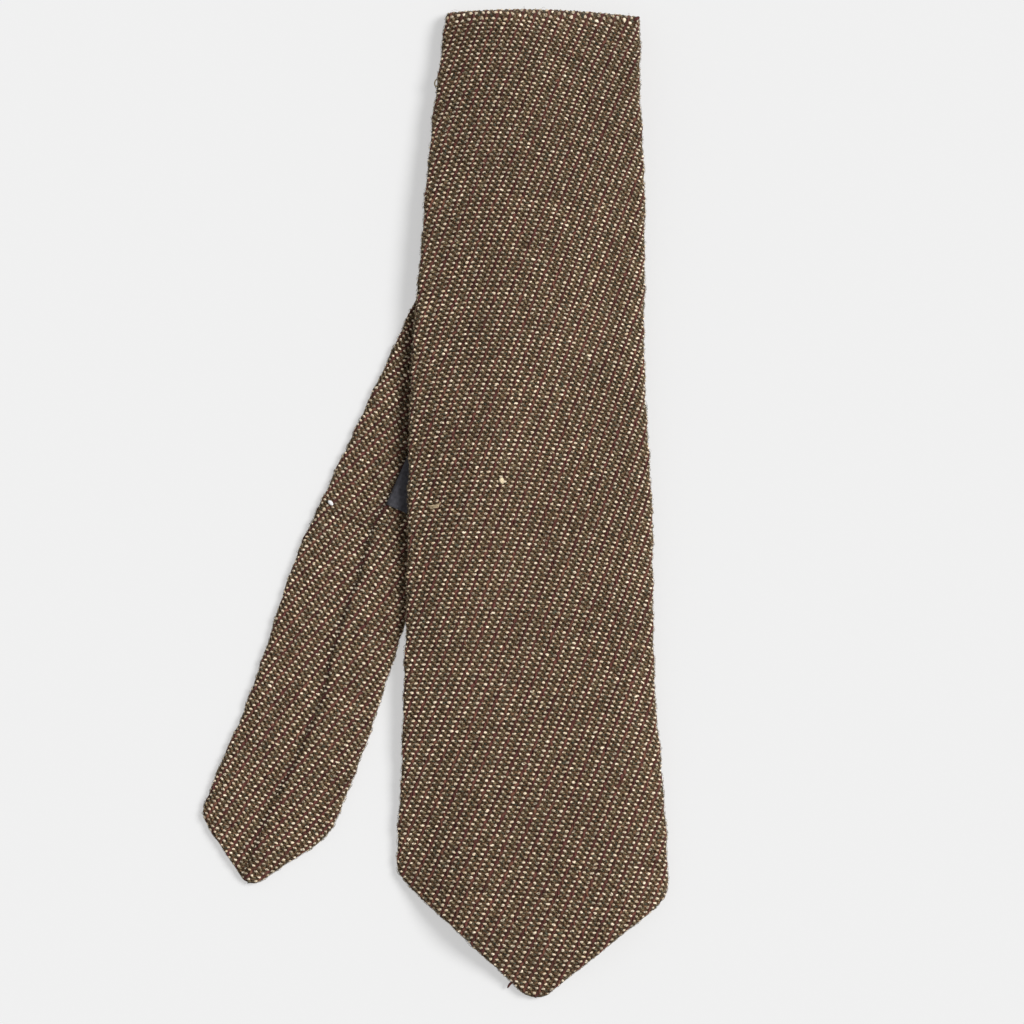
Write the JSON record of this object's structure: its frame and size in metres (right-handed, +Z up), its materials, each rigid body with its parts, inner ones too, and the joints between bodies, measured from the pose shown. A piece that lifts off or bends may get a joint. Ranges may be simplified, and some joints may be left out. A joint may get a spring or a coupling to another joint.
{
  "type": "knit tie",
  "caption": "Knit wool necktie folded up and lying flat, wide blade in front with its pointed tip, narrow tail slanting out behind, small plain label in the back seam.",
  "frame": {"origin": "on the floor, under the middle of the folded tie's bounding box", "axes": "+Y along the wide blade towards the top fold, +X to the right seen from above, +Z up"},
  "size_m": [0.1628, 0.3472, 0.0151],
  "materials": {
    "wool_knit": "brown wool knit with cream dots, maroon ribs and olive strands, matte",
    "label_satin": "plain dark navy satin ribbon, slight sheen"
  },
  "bodies": {
    "root": {"front_blade": "wool_knit", "neck_band": "wool_knit", "tail_blade": "wool_knit", "care_label": "label_satin"}
  },
  "joints": []
}
